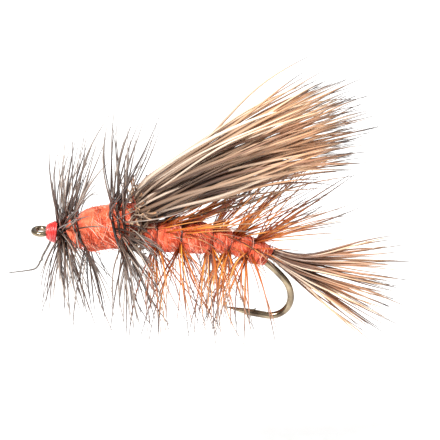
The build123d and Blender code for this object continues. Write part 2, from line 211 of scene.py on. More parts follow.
def plant(batch, form, path, radii, facing, strip, flatness=1.0):
    """Bends a strand form along a path, one radius to a ring, and adds it to a batch of strands."""
    mesh, ring, across, spread = form
    ahead = unit(np.gradient(path, axis=0))
    side = unit(np.cross(ahead, facing))
    other = np.cross(ahead, side)
    offset = across[:, :1] * side[ring] + across[:, 1:] * flatness * other[ring]
    spots = (path[ring] + offset * radii[ring][:, None]) * MM
    mesh.vertices.foreach_set("co", spots.ravel())
    shifted = np.column_stack(((spread[:, 0] + strip % STRIPS) / STRIPS, spread[:, 1]))
    mesh.uv_layers["OFBake"].data.foreach_set("uv", shifted.ravel())
    batch.from_mesh(mesh)


def grow(root, start, finish, length, rings, turned_by, waver, chance, droop=0.0):
    """The path of a strand that leaves its root one way and has turned another way by some share."""
    share = np.linspace(0, 1, rings + 1)
    turn = np.clip(share / turned_by, 0, 1)
    turn = (turn * turn * (3 - 2 * turn))[:, None]
    heading = unit(unit(start) * (1 - turn) + unit(finish) * turn)
    heading = heading - np.outer(share ** 1.3, (0, 0, droop))
    wander = unit(np.array([chance.uniform(-1, 1) for _ in range(3)]))
    phase, waves = chance.uniform(0, math.tau), chance.uniform(0.7, 1.6)
    swing = waver * np.sin(share * waves * math.tau + phase)[:, None] * wander
    heading = unit(heading + swing)
    return root + np.vstack((np.zeros(3), np.cumsum(heading[:-1] * length / rings, axis=0)))


def anyway(chance):
    """A direction of no preference."""
    return unit(np.array([chance.gauss(0, 1) for _ in range(3)]))


def settle(batch, name, *materials):
    """Makes a finished batch one piece, at the origin and with its place in its mesh."""
    mesh = bpy.data.meshes.new(name)
    batch.to_mesh(mesh)
    batch.free()
    piece = bpy.data.objects.new(name, mesh)
    bpy.context.scene.collection.objects.link(piece)
    for material in materials:
        mesh.materials.append(material)
    return piece


def disc_spot(i, count):
    """Evenly spread places over a disc of radius one."""
    radius = math.sqrt((i + 0.5) / count)
    return radius * math.cos(i * GOLDEN_ANGLE), radius * math.sin(i * GOLDEN_ANGLE)


def strand_finish(name, dark, plain, pale, roughness, bars=None, coat=0.0):
    """Three shades of one hair or feather along its length; each strand lies between two of them."""
    material = bpy.data.materials.new(name)
    material.use_nodes = True
    own_map = add_node(material, "ShaderNodeUVMap", uv_map="OFBake").outputs["UV"]
    parts = add_node(material, "ShaderNodeSeparateXYZ", {"Vector": own_map})
    along = parts.outputs["Y"]
    strip = add_node(material, "ShaderNodeMath", {0: parts.outputs["X"], 1: float(STRIPS)},
                     operation="MULTIPLY")
    strip = add_node(material, "ShaderNodeMath", {0: strip.outputs[0]}, operation="FLOOR")
    shade = add_node(material, "ShaderNodeTexWhiteNoise", {"W": strip.outputs[0]},
                     noise_dimensions="1D")
    ramps = [add_node(material, "ShaderNodeValToRGB", {"Fac": along}, stops=s)
             for s in (dark, plain, pale)]
    to_plain = add_node(material, "ShaderNodeMapRange", {
        "Value": shade.outputs["Value"], "From Min": 0.05, "From Max": 0.45,
    })
    to_pale = add_node(material, "ShaderNodeMapRange", {
        "Value": shade.outputs["Value"], "From Min": 0.6, "From Max": 0.98,
    })
    first = add_node(material, "ShaderNodeMix", {
        0: to_plain.outputs[0], 6: ramps[0].outputs[0], 7: ramps[1].outputs[0],
    }, data_type="RGBA")
    colour = add_node(material, "ShaderNodeMix", {
        0: to_pale.outputs[0], 6: first.outputs[2], 7: ramps[2].outputs[0],
    }, data_type="RGBA").outputs[2]
    if bars:
        count, depth = bars
        shift = add_node(material, "ShaderNodeMath", {
            0: along, 1: float(count), 2: shade.outputs["Value"],
        }, operation="MULTIPLY_ADD")
        wave = add_node(material, "ShaderNodeMath", {0: shift.outputs[0], 1: 1.0},
                        operation="PINGPONG")
        dim = add_node(material, "ShaderNodeMapRange", {
            "Value": wave.outputs[0], "From Min": 0.3, "From Max": 0.7, "To Min": 1 - depth,
        })
        colour = add_node(material, "ShaderNodeMix", {
            0: 1.0, 6: colour, 7: dim.outputs[0],
        }, data_type="RGBA", blend_type="MULTIPLY").outputs[2]
    add_node(material, "ShaderNodeBsdfPrincipled", {
        "Base Color": colour, "Roughness": roughness, "Coat Weight": coat, "Coat Roughness": 0.3,
    })
    return material


deer_hair = strand_finish(
    "deer body hair for the tail",
    ((0.0, "#1A0802"), (0.3, "#2E160A"), (0.6, "#7A4828"), (0.82, "#5A3E30"), (0.95, "#2A1E1A")),
    ((0.0, "#46281A"), (0.3, "#6E4A36"), (0.6, "#B48260"), (0.82, "#A07A5C"), (0.95, "#4A3A34")),
    ((0.0, "#D0B49C"), (0.3, "#E4CAB2"), (0.6, "#E8C8A4"), (0.82, "#D0A880"), (0.95, "#6E5A50")),
    roughness=0.42, coat=0.25,
)
hair_form = strand_form(4, HAIR_RINGS)
hair_taper = np.interp(np.linspace(0, 1, HAIR_RINGS + 1), *HAIR_TAPER)
tail = bmesh.new()
chance = random.Random(21)
foot, along, up = shank(TAIL_FOOT_STATION, TAIL_FOOT_LIFT)
for i in range(TAIL_COUNT):
    across, high = disc_spot(i, TAIL_COUNT)
    root = foot + up * (high * TAIL_FOOT_RADIUS) + np.array((0, across * TAIL_FOOT_RADIUS, 0))
    height = min(1.0, max(-1.0, high * 1.1 + chance.uniform(-0.15, 0.15)))
    tilt = math.radians(TAIL_LOW + (TAIL_HIGH - TAIL_LOW) * (height + 1) / 2)
    swing = math.radians(TAIL_SPREAD * across + chance.uniform(-3, 3))
    finish = np.array((math.cos(tilt) * math.cos(swing), math.sin(swing), math.sin(tilt)))
    start = along + 0.35 * finish + up * (0.3 * max(0.0, height))
    length = TAIL_LENGTH * chance.uniform(*TAIL_LENGTHS)
    path = grow(root, start, finish, length, HAIR_RINGS, TAIL_TURNED_BY, TAIL_WAVER, chance,
                chance.gauss(0, TAIL_DROOP))
    radii = hair_taper * TAIL_HAIR_RADIUS * chance.uniform(*TAIL_THICKNESSES)
    plant(tail, hair_form, path, radii, anyway(chance), i * 7)
tail = settle(tail, "tail_hairs", deer_hair)
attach(tail, "tail")
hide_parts("tail_hair")

butts = bmesh.new()
chance = random.Random(22)
butt_form = strand_form(4, BUTT_RINGS)
butt_shares = np.linspace(0, 1, BUTT_RINGS + 1)
butt_radii = np.full(BUTT_RINGS + 1, TAIL_BUTT_RADIUS)
for i in range(TAIL_BUTTS):
    across, high = disc_spot(i, TAIL_BUTTS)
    path = []
    for share in butt_shares:
        squeeze = 0.35 + 0.6 * share
        point, _, up = shank(TAIL_BUTTS_STATION - TAIL_BUTTS_LENGTH * (1 - share * 0.99),
                             TAIL_BUTTS_LIFT + TAIL_BUTTS_RISE * share)
        path.append(point + up * (high * TAIL_BUTTS_SPREAD * squeeze)
                    + np.array((0, across * TAIL_BUTTS_SPREAD * squeeze, 0)))
    plant(butts, butt_form, np.array(path), butt_radii, anyway(chance), i * 7)
butts = settle(butts, "tail_hair_butts", deer_hair)
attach(butts, "fly")
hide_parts("tail_butts")


# ---- thread bands over the tail and the wing ----------------------------------------------
# Firm touching turns of the same thread that hold each bunch of hair down. Each band is one
# thread wound round an oval: the round shank below, the bunch of hair above.
THREAD_RADIUS, THREAD_UNEVENNESS = 0.055, 0.15
TAIL_BAND_START, TAIL_BAND_END = 20.42, 20.64
TAIL_BAND_OVAL = (0.44, 0.6, 0.92)  # an oval's lift, half width and half height
TAIL_BAND_TURNS, TAIL_BAND_RINGS = 3, 72
WING_BAND_START, WING_BAND_END = 8.15, 8.8
WING_BAND_OVAL = (1.72, 1.3, 2.22)
WING_BAND_TURNS, WING_BAND_RINGS, WING_BAND_SLANT = 7, 240, 0.03


def wound(batch, form, rings, turns, start, stop, outline, slant, chance):
    """Thread wound along the shank; outline gives (lift, half width, half height) at a station."""
    path = []
    for share in np.linspace(0, 1, rings + 1):
        angle = share * turns * math.tau
        station = start + (stop - start) * share + slant * math.sin(angle)
        lift, wide, high = outline(station)
        point, _, up = shank(station, lift)
        path.append(point + up * (high * math.cos(angle)) + np.array((0, wide * math.sin(angle), 0)))
    path = np.array(path)
    uneven = 1 + THREAD_UNEVENNESS * np.sin(np.arange(rings + 1) * 0.37)
    radii = np.full(rings + 1, THREAD_RADIUS) * uneven
    middle = np.array([shank(start)[1]] * (rings + 1))
    plant(batch, form, path, radii, middle, chance.randrange(STRIPS))


plied_thread = strand_finish(
    "waxed polyester tying thread, single turns",
    ((0.0, "#8A2C12"), (1.0, "#8A2C12")),
    ((0.0, "#C2481F"), (1.0, "#C2481F")),
    ((0.0, "#E87446"), (1.0, "#E87446")),
    roughness=0.45,
)
band = bmesh.new()
chance = random.Random(31)
wound(band, strand_form(6, TAIL_BAND_RINGS), TAIL_BAND_RINGS, TAIL_BAND_TURNS,
      TAIL_BAND_START, TAIL_BAND_END, lambda station: TAIL_BAND_OVAL, 0.0, chance)
band = settle(band, "tail_thread_band", plied_thread)
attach(band, "fly")
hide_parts("tail_wraps")

band = bmesh.new()
wound(band, strand_form(6, WING_BAND_RINGS), WING_BAND_RINGS, WING_BAND_TURNS,
      WING_BAND_START, WING_BAND_END, lambda station: WING_BAND_OVAL, WING_BAND_SLANT, chance)
band = settle(band, "wing_thread_band", plied_thread)
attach(band, "fly")
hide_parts("wing_wraps")


# ---- ribbed body --------------------------------------------------------------------------
# Bright orange synthetic fur, teased on to waxed thread as a loose rope and wound on, so the
# strands run round the body in a slanting swirl and stray ones stand off it. The feather's
# stem, wound over it, pulls it in and leaves it in six bulging segments.
ABDOMEN_START = 9.25
ABDOMEN_LENGTHS = (1.25, 2.25, 2.7, 1.73, 1.7, 1.52)
ABDOMEN_RADII = (1.25, 1.46, 1.46, 1.14, 1.06, 1.08)
ABDOMEN_LIFTS = (0.15, 0.24, 0.28, 0.12, 0.26, 0.42)
GROOVE_SHARE = 0.73
ROLL_SIDES, ROLL_RINGS = 40, 22
ROLL_INSET = 0.02
FUR_LUMP, FUR_LUMP_HEIGHT = 0.55, 0.09
FUR_RINGS = 6
FUR_TAPER = ((0, 0.15, 0.8, 1), (0.5, 1, 0.8, 0.25))
FUR_STRAND_RADIUS, FUR_THICKNESSES = 0.042, (0.6, 1.15)
FUR_PER_MM2 = 14.0
FUR_SLANT, FUR_SLANT_SPREAD = 62, 24  # degrees from the shank, and how much it varies
FUR_LYING, FUR_STANDING = (0.0, 0.06), (0.15, 0.8)
FUR_LENGTHS, REAR_FUR_LENGTHS = (0.9, 2.2), (1.4, 3.0)
FUR_LOOSE, REAR_FUR_LOOSE = 0.14, 0.22

fur_felt = bpy.data.materials.new("matted synthetic fur orange")
fur_felt.use_nodes = True
place = add_node(fur_felt, "ShaderNodeTexCoord").outputs["Object"]
drift = add_node(fur_felt, "ShaderNodeTexNoise", {
    "Vector": place, "Scale": 1 / (1.1 * MM), "Detail": 2.0,
})
strands = add_node(fur_felt, "ShaderNodeTexNoise", {
    "Vector": place, "Scale": 1 / (0.16 * MM), "Detail": 5.0, "Roughness": 0.7, "Distortion": 1.4,
})
tone = add_node(fur_felt, "ShaderNodeMix", {
    0: 0.35, 2: strands.outputs["Fac"], 3: drift.outputs["Fac"],
})
# Most of the colour follows the noise that also raises the matting. The hollows are painted dark red
# as shade and the raised strands pale as highlight; the broad drift adds random tone.
dye_with_painted_hollow_shade = add_node(fur_felt, "ShaderNodeValToRGB", {"Fac": tone.outputs[0]}, stops=(
    (0.3, "#9C2408"), (0.43, "#DC4E26"), (0.56, "#F0764E"), (0.74, "#FAA17C"),
))
matting = add_node(fur_felt, "ShaderNodeBump", {
    "Height": strands.outputs["Fac"], "Strength": 0.8, "Distance": 0.08 * MM,
})
add_node(fur_felt, "ShaderNodeBsdfPrincipled", {
    "Base Color": dye_with_painted_hollow_shade.outputs["Color"], "Roughness": 0.75, "Sheen Weight": 0.3,
    "Normal": matting.outputs["Normal"],
})
fur_strands = strand_finish(
    "synthetic fur strands orange",
    ((0.0, "#8E2008"), (1.0, "#B0340F")),
    ((0.0, "#E05028"), (1.0, "#EC6C42")),
    ((0.0, "#FFB494"), (1.0, "#FFDCC8")),
    roughness=0.5,
)


roll_form = strand_form(ROLL_SIDES, ROLL_RINGS)
fur_form = strand_form(3, FUR_RINGS)


def roll(batch, outline, start, stop):
    """A closed roll round the shank; outline gives its (lift, radius) at a share of its length."""
    shares = np.linspace(0, 1, ROLL_RINGS + 1)
    path = np.array([shank(start + (stop - start) * s, outline(s)[0])[0] for s in shares])
    radii = np.array([outline(s)[1] for s in shares])
    plant(batch, roll_form, path, radii, np.array((0.0, 1.0, 0.0)), 0)


def ruffle(batch, lump, height):
    """Pushes a roll's surface in and out, as wound fur is."""
    batch.normal_update()
    for vert in batch.verts:
        spot = vert.co / (lump * MM)
        swell = noise.noise(spot) + 0.5 * noise.noise(spot * 2.3 + Vector((9, 4, 7)))
        vert.co += vert.normal * (swell * height * MM)


def tease(batch, outline, start, stop, count, chance, lengths, loose):
    """Lays fur strands round a roll on a slant; a share of them stray off it in curls."""
    shares = np.linspace(0, 1, FUR_RINGS + 1)
    taper = np.interp(shares, *FUR_TAPER)
    for _ in range(count):
        share = chance.uniform(0.02, 0.98)
        turn = chance.uniform(0, math.tau)
        slant = math.radians(chance.gauss(FUR_SLANT, FUR_SLANT_SPREAD))
        reach = chance.uniform(*lengths)
        free = chance.random() < loose
        stand = chance.uniform(*FUR_STANDING) if free else chance.uniform(*FUR_LYING)
        curl, phase = chance.uniform(-0.5, 0.5), chance.uniform(0, math.tau)
        path = []
        for t in shares:
            here = share + reach * t * math.cos(slant) / (stop - start)
            here = min(1.0, max(0.0, here + 0.03 * curl * math.sin(t * 5 + phase)))
            lift, radius = outline(here)
            angle = turn + (reach * t * math.sin(slant) + 0.15 * curl * math.sin(t * 7)) / radius
            off = radius + 0.01 + stand * t ** 1.6 + 0.03 * math.sin(t * 6 + phase)
            point, _, up = shank(start + (stop - start) * here, lift)
            path.append(point + up * (off * math.cos(angle))
                        + np.array((0, -off * math.sin(angle), 0)))
        radii = taper * FUR_STRAND_RADIUS * chance.uniform(*FUR_THICKNESSES)
        plant(batch, fur_form, np.array(path), radii, anyway(chance), chance.randrange(STRIPS))


def barrel(ends, radius):
    """The outline of one segment: its ends and its bulge."""
    (front_lift, front), (rear_lift, rear) = ends

    def outline(share):
        bulge = math.sin(math.pi * min(1.0, max(0.0, share))) ** 0.55
        lift = front_lift + (rear_lift - front_lift) * share
        end = front + (rear - front) * share
        return lift, end + (radius - end) * bulge

    return outline


segments = []
station = ABDOMEN_START
for i, length in enumerate(ABDOMEN_LENGTHS):
    ends = []
    for j in (i - 1, i + 1):
        beside = j if 0 <= j < len(ABDOMEN_RADII) else i
        ends.append(((ABDOMEN_LIFTS[i] + ABDOMEN_LIFTS[beside]) / 2,
                     GROOVE_SHARE * min(ABDOMEN_RADII[i], ABDOMEN_RADII[beside])))
    segments.append((station, station + length, ends, ABDOMEN_RADII[i]))
    station += length

rolls, fur = bmesh.new(), bmesh.new()
chance = random.Random(41)
for start, stop, ends, radius in segments:
    outline = barrel(ends, radius - ROLL_INSET)
    roll(rolls, outline, start, stop)
    count = int(FUR_PER_MM2 * math.tau * radius * (stop - start))
    if stop == segments[-1][1]:
        tease(fur, outline, start, stop, count, chance, REAR_FUR_LENGTHS, REAR_FUR_LOOSE)
    else:
        tease(fur, outline, start, stop, count, chance, FUR_LENGTHS, FUR_LOOSE)
ruffle(rolls, FUR_LUMP, FUR_LUMP_HEIGHT)
rolls = settle(rolls, "abdomen_fur_rolls", fur_felt)
rolls.data.uv_layers.remove(rolls.data.uv_layers["OFBake"])
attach(rolls, "fly")
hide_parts("abdomen_dubbing")
fur = settle(fur, "abdomen_fur_strands", fur_strands)
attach(fur, "fly")
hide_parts("abdomen_dubbing")


# ---- body feather -------------------------------------------------------------------------
# A ginger cock's neck feather wound along the body in open turns. Its dark stem lies in the
# grooves between the fur segments, and its springy barbs, ginger with a dark root and a
# greyed tip, stand out all round: swept back over the top, hanging below.
STEM_RINGS, BARB_RINGS = 40, 9
STEM_HALF_TURN, STEM_TUCKED_FROM, STEM_TUCK = 0.56, 0.48, 0.25  # turns, turns, share of radius
STEM_CLIMB = 0.2
BARB_TAPER = ((0.0, 0.12, 0.65, 1.0), (1.0, 1.0, 0.8, 0.2))
BARB_FLATNESS, BARB_THICKNESSES = 0.85, (0.7, 1.2)
BARB_TWIST, BARB_WAVER = 0.16, 0.022
GINGER_STEM_RADIUS, GINGER_STEM_LIFT, GINGER_STEM_SLANT = 0.13, 0.06, 0.16
GINGER_BARBS, GINGER_PRESSED_BARBS = 56, 9
GINGER_REACH = 9.6
GINGER_RADIUS = 0.074
# Angles in degrees: round the body from the top, tilt back, and bend. Lengths as shares.
UPPER_FAN, UPPER_BOW, UPPER_LENGTHS = 24, (-4, 9), (0.75, 1.2)
UPPER_LEAN_BY_WING, UPPER_LEAN = (46, 68), (6, 60)
LOWER_FAN, LOWER_BOW, LOWER_LENGTHS = 88, (-6, 20), (0.72, 1.08)
LOWER_LEAN, LOWER_LEAN_SPREAD, LOWER_HANG = 11, 14, 1.3
PRESSED_FAN, PRESSED_LEAN, PRESSED_BOW = (35, 135), (62, 80), -8
PRESSED_LENGTHS, PRESSED_HANG = (0.2, 0.5), (0.2, 1.2)

ginger_barbs = strand_finish(
    "ginger cock feather barbs",
    ((0.0, "#340A04"), (0.2, "#742608"), (0.5, "#6E2E12"), (0.75, "#3E2A22"), (1.0, "#2E2828")),
    ((0.0, "#742208"), (0.2, "#C46218"), (0.5, "#BC6C30"), (0.75, "#6E4C3A"), (1.0, "#524844")),
    ((0.0, "#B85010"), (0.2, "#F6A440"), (0.5, "#EAA660"), (0.75, "#AC866C"), (1.0, "#7E726C")),
    roughness=0.35, coat=0.3,
)
ginger_stem = strand_finish(
    "ginger cock feather stem",
    ((0.0, "#380E04"), (1.0, "#380E04")),
    ((0.0, "#56190A"), (1.0, "#56190A")),
    ((0.0, "#7A2A12"), (1.0, "#7A2A12")),
    roughness=0.35, coat=0.4,
)
barb_form = strand_form(4, BARB_RINGS)
stem_form = strand_form(6, STEM_RINGS)
barb_taper = np.interp(np.linspace(0, 1, BARB_RINGS + 1), *BARB_TAPER)


def stem_turn(batch, station, lift, radius, thick, slant, chance):
    """One turn of a stem that climbs a little as it goes round, its ends tucked into the fur."""
    path = []
    for share in np.linspace(-STEM_HALF_TURN, STEM_HALF_TURN, STEM_RINGS + 1):
        angle = share * math.tau + math.pi
        point, _, up = shank(station + slant * math.cos(angle) + STEM_CLIMB * share, lift)
        tucked = max(0.0, abs(share) - STEM_TUCKED_FROM) / (STEM_HALF_TURN - STEM_TUCKED_FROM)
        off = radius - STEM_TUCK * tucked * radius
        path.append(point + up * (off * math.cos(angle))
                    + np.array((0, -off * math.sin(angle), 0)))
    along = np.array([shank(station)[1]] * (STEM_RINGS + 1))
    plant(batch, stem_form, np.array(path), np.full(STEM_RINGS + 1, thick), along,
          chance.randrange(STRIPS))


def wound_barb(batch, station, lift, radius, around, lean, bow, reach, thick, chance, hang):
    """One barb: around is its angle from the top, hang its droop; lean and bow are in degrees."""
    lean, bow = math.radians(lean), math.radians(bow)
    point, along, up = shank(station, lift)
    out = up * math.cos(around) + np.array((0, -math.sin(around), 0))
    start = out * math.cos(lean - bow) + along * math.sin(lean - bow)
    finish = out * math.cos(lean + bow) + along * math.sin(lean + bow)
    twist = np.cross(out, along) * chance.gauss(0, BARB_TWIST)
    path = grow(point + out * radius, start, finish + twist, reach, BARB_RINGS, 1.0, BARB_WAVER,
                chance, hang)
    radii = barb_taper * thick * chance.uniform(*BARB_THICKNESSES)
    plant(batch, barb_form, path, radii, anyway(chance), chance.randrange(STRIPS), BARB_FLATNESS)


stems = bmesh.new()
chance = random.Random(51)
station = ABDOMEN_START
ginger_turns = []
for i in range(len(ABDOMEN_LENGTHS) - 1):
    station += ABDOMEN_LENGTHS[i]
    lift, groove = segments[i][2][1]
    ginger_turns.append((station, lift, groove + GINGER_STEM_LIFT))
for station, lift, radius in ginger_turns:
    stem_turn(stems, station, lift, radius, GINGER_STEM_RADIUS, GINGER_STEM_SLANT, chance)
stems = settle(stems, "ginger_feather_stem", ginger_stem)
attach(stems, "fly")
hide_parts("body_hackle_quill")

for number, (station, lift, radius) in enumerate(ginger_turns, 1):
    barbs = bmesh.new()
    for i in range(GINGER_BARBS):
        if i % 5 < 2:
            around = math.radians(chance.gauss(0, UPPER_FAN))
            lean = chance.uniform(*(UPPER_LEAN if number > 2 else UPPER_LEAN_BY_WING))
            bow, hang = chance.uniform(*UPPER_BOW), 0.0
            reach = GINGER_REACH * chance.uniform(*UPPER_LENGTHS)
        else:
            around = math.radians(180 + chance.uniform(-LOWER_FAN, LOWER_FAN))
            lean = chance.gauss(LOWER_LEAN, LOWER_LEAN_SPREAD)
            bow, hang = chance.uniform(*LOWER_BOW), LOWER_HANG * math.sin(around) ** 2
            reach = GINGER_REACH * chance.uniform(*LOWER_LENGTHS)
        here = station + GINGER_STEM_SLANT * math.cos(around) + chance.uniform(-0.3, 0.3)
        wound_barb(barbs, here, lift, radius, around, lean, bow, reach, GINGER_RADIUS, chance, hang)
    for _ in range(GINGER_PRESSED_BARBS):
        around = math.radians(chance.uniform(*PRESSED_FAN)) * chance.choice((-1, 1))
        wound_barb(barbs, station + chance.uniform(0, 0.3), lift, radius + 0.1, around,
                   chance.uniform(*PRESSED_LEAN), PRESSED_BOW,
                   GINGER_REACH * chance.uniform(*PRESSED_LENGTHS), GINGER_RADIUS * 0.9, chance,
                   chance.uniform(*PRESSED_HANG))
    barbs = settle(barbs, f"ginger_feather_barbs_{number}", ginger_barbs)
    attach(barbs, "fly")
    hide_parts(f"body_hackle_turn_{number}")


# ---- wing ---------------------------------------------------------------------------------
# A thick bunch of hollow elk hair, tied in just ahead of the body. It flares where the thread
# crushes it, bellies up and sweeps back in locks: grey-brown, then golden tan, with dark fine
# tips. Its trimmed butts lie forward under the thorax fur, and a few short ends stick out.
WING_FOOT_STATION, WING_FOOT_LIFT = 8.9, 2.5
WING_FOOT_WIDE, WING_FOOT_HIGH = 1.05, 1.3
WING_LOCKS, HAIRS_PER_LOCK = 82, 2
WING_LENGTH = 24.2
WING_LOW, WING_HIGH, WING_SPREAD = 29.0, 38.2, 9.0
WING_STEEP = 22.0
WING_DROOP_LOW, WING_DROOP_HIGH = 0.42, 0.14
WING_HAIR_RADIUS, WING_THICKNESSES = 0.18, (0.6, 1.15)
WING_RINGS, WING_TURNED_BY, WING_WAVER = 18, 0.14, 0.13
WING_TAPER = ((0, 0.08, 0.55, 0.82, 1), (0.8, 1.0, 0.88, 0.45, 0.1))
LOCK_SPREAD, HAIR_SPREAD, LOOSE_HAIR_SPREAD = 2.4, 1.0, 3.0
LOOSE_HAIR_SHARE = 0.4
# Single hairs that stand apart: height in the bunch, tilt, droop and length.
HAIRS_APART = ((-0.95, 19.5, 0.04, 20.8), (-0.8, 30.0, 0.64, 18.5), (0.95, 42.0, 0.62, 22.6))
WING_BUTTS, WING_BUTT_RADIUS = 90, 0.085
WING_BUTTS_STATION, WING_BUTTS_LENGTH = 8.85, 3.2
WING_BUTTS_LIFT, WING_BUTTS_RISE, WING_BUTTS_HIGH = 0.45, 1.9, 1.35
WING_ENDS = 170
ENDS_START, ENDS_STOP, ENDS_LIFT = 8.1, 9.2, 1.75
ENDS_WIDE, ENDS_HIGH, ENDS_LENGTHS = 1.35, 2.2, (0.8, 2.4)

elk_hair = strand_finish(
    "elk body hair for the wing",
    ((0.0, "#2A1206"), (0.35, "#3A2012"), (0.6, "#7A5440"), (0.84, "#8E5E3E"), (0.95, "#241610")),
    ((0.0, "#725846"), (0.35, "#8A705C"), (0.6, "#BE9A7C"), (0.84, "#C6946C"), (0.95, "#3A2A24")),
    ((0.0, "#C6B09C"), (0.35, "#DCC6B2"), (0.6, "#F0DCC4"), (0.84, "#EACCA8"), (0.95, "#5E463A")),
    roughness=0.42, coat=0.2,
)
wing_form = strand_form(4, WING_RINGS)
wing_taper = np.interp(np.linspace(0, 1, WING_RINGS + 1), *WING_TAPER)
wing = bmesh.new()
chance = random.Random(61)
foot, along, up = shank(WING_FOOT_STATION, WING_FOOT_LIFT)


def wing_hair(across, high, tilt, swing, droop, length, waves, strip):
    """One hair: steep at the thread if it is high in the bunch, then swept back and drooping."""
    root = foot + np.array((chance.uniform(-0.75, 0.1), across * WING_FOOT_WIDE,
                            high * WING_FOOT_HIGH))
    steep = math.radians(tilt + WING_STEEP * max(0.0, high) - 2 * (1 - high))
    tilt, swing = math.radians(tilt), math.radians(swing)
    finish = np.array((math.cos(tilt) * math.cos(swing), math.sin(swing), math.sin(tilt)))
    start = np.array((math.cos(steep), math.sin(swing) * 2, math.sin(steep)))
    path = grow(root, start, finish, length, WING_RINGS, WING_TURNED_BY, WING_WAVER, waves, droop)
    radii = wing_taper * WING_HAIR_RADIUS * chance.uniform(*WING_THICKNESSES)
    plant(wing, wing_form, path, radii, anyway(chance), strip)


for lock in range(WING_LOCKS):
    lock_across, lock_high = disc_spot(lock, WING_LOCKS)
    lock_tilt, lock_swing = chance.gauss(0, LOCK_SPREAD), chance.gauss(0, LOCK_SPREAD)
    lock_length = chance.uniform(0.86, 1.0)
    lock_strip = chance.randrange(STRIPS)
    for i in range(HAIRS_PER_LOCK):
        across = lock_across + chance.uniform(-0.12, 0.12)
        high = min(1.0, max(-1.0, lock_high + chance.uniform(-0.1, 0.1)))
        height = (high + 1) / 2
        alone = chance.random() < LOOSE_HAIR_SHARE
        own_spread = LOOSE_HAIR_SPREAD if alone else HAIR_SPREAD
        tilt = WING_LOW + (WING_HIGH - WING_LOW) * height + lock_tilt * (1 - 0.5 * abs(high))
        tilt += chance.gauss(0, own_spread)
        swing = WING_SPREAD * across + lock_swing + chance.gauss(0, own_spread)
        length = WING_LENGTH * (1 - 0.1 * abs(high) ** 1.5) * lock_length
        length *= chance.uniform(0.93, 1.0)
        droop = WING_DROOP_LOW + (WING_DROOP_HIGH - WING_DROOP_LOW) * height
        waves = chance if alone else random.Random(lock)
        strip = lock_strip if i == 0 else chance.randrange(STRIPS)
        wing_hair(across, high, tilt, swing, droop, length, waves, strip)
for high, tilt, droop, length in HAIRS_APART:
    wing_hair(-0.3, high, tilt, -1.0, droop, length, chance, chance.randrange(STRIPS))
wing = settle(wing, "wing_hairs", elk_hair)
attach(wing, "wing")
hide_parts("wing_hair")

butts = bmesh.new()
chance = random.Random(62)
butt_radii = np.full(BUTT_RINGS + 1, WING_BUTT_RADIUS)
for i in range(WING_BUTTS):
    across, high = disc_spot(i, WING_BUTTS)
    path = []
    for share in butt_shares:
        squeeze = 0.3 + 0.65 * share
        point, _, _ = shank(WING_BUTTS_STATION - WING_BUTTS_LENGTH * (1 - share),
                            WING_BUTTS_LIFT + WING_BUTTS_RISE * share ** 1.2)
        path.append(point + np.array((0, across * squeeze, high * WING_BUTTS_HIGH * squeeze)))
    plant(butts, butt_form, np.array(path), butt_radii, anyway(chance), i * 7)
for _ in range(WING_ENDS):
    around = chance.uniform(0, math.tau)
    point, along, up = shank(chance.uniform(ENDS_START, ENDS_STOP), ENDS_LIFT)
    out = up * (ENDS_HIGH * math.cos(around)) + np.array((0, -ENDS_WIDE * math.sin(around), 0))
    start = unit(out) * chance.uniform(-0.1, 0.6) + anyway(chance) * 0.9
    finish = start * 0.4 + along * chance.uniform(-0.4, 1.2) + up * 0.3 + anyway(chance) * 0.4
    length = chance.uniform(*ENDS_LENGTHS)
    path = grow(point + out, start, finish, length, BUTT_RINGS, 1.0, 0.1, chance)
    plant(butts, butt_form, path, butt_radii, anyway(chance), chance.randrange(STRIPS))
butts = settle(butts, "wing_hair_butts", elk_hair)
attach(butts, "fly")
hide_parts("wing_butts")


# ---- thorax -------------------------------------------------------------------------------
# The same orange fur, wound thicker over the trimmed butts of the wing: a small roll behind
# the collar, then the full thorax, which rises towards the wing.
COLLAR_END, THORAX_WAIST, THORAX_END, NECK_END = 2.5, 3.6, 6.7, 8.1
WAIST_LIFT, WAIST_RADIUS = 0.22, 1.26
NECK_LIFT, NECK_RADIUS = 0.95, 2.1
SMALL_ROLL_RADIUS, THORAX_RADIUS, THORAX_INSET = 1.53, 2.04, 0.05
SMALL_ROLL_FUR, SMALL_ROLL_FUR_LENGTHS, SMALL_ROLL_FUR_LOOSE = 170, (0.9, 2.4), 0.16
THORAX_FUR, THORAX_FUR_LENGTHS, THORAX_FUR_LOOSE = 900, (1.2, 2.8), 0.07

rolls, fur = bmesh.new(), bmesh.new()
chance = random.Random(71)
front = barrel(((0.0, WAIST_RADIUS), (WAIST_LIFT, WAIST_RADIUS)), SMALL_ROLL_RADIUS)
roll(rolls, front, COLLAR_END, THORAX_WAIST)
tease(fur, front, COLLAR_END, THORAX_WAIST, SMALL_ROLL_FUR, chance,
      SMALL_ROLL_FUR_LENGTHS, SMALL_ROLL_FUR_LOOSE)


def thorax_outline(share):
    """From the waist up to full height, and level along the neck."""
    station = THORAX_WAIST + (NECK_END - THORAX_WAIST) * share
    rise = min(1.0, max(0.0, (station - THORAX_WAIST) / (THORAX_END - THORAX_WAIST)))
    lift = WAIST_LIFT + (NECK_LIFT - WAIST_LIFT) * rise
    end = WAIST_RADIUS + (NECK_RADIUS - WAIST_RADIUS) * rise
    bulge = math.sin(math.pi * rise) ** 0.5
    return lift, end + (THORAX_RADIUS - end) * bulge - THORAX_INSET


roll(rolls, thorax_outline, THORAX_WAIST, NECK_END)
tease(fur, thorax_outline, THORAX_WAIST, NECK_END, THORAX_FUR, chance,
      THORAX_FUR_LENGTHS, THORAX_FUR_LOOSE)
ruffle(rolls, FUR_LUMP, FUR_LUMP_HEIGHT)
rolls = settle(rolls, "thorax_fur_rolls", fur_felt)
rolls.data.uv_layers.remove(rolls.data.uv_layers["OFBake"])
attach(rolls, "fly")
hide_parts("thorax_dubbing")
fur = settle(fur, "thorax_fur_strands", fur_strands)
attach(fur, "fly")
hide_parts("thorax_dubbing")


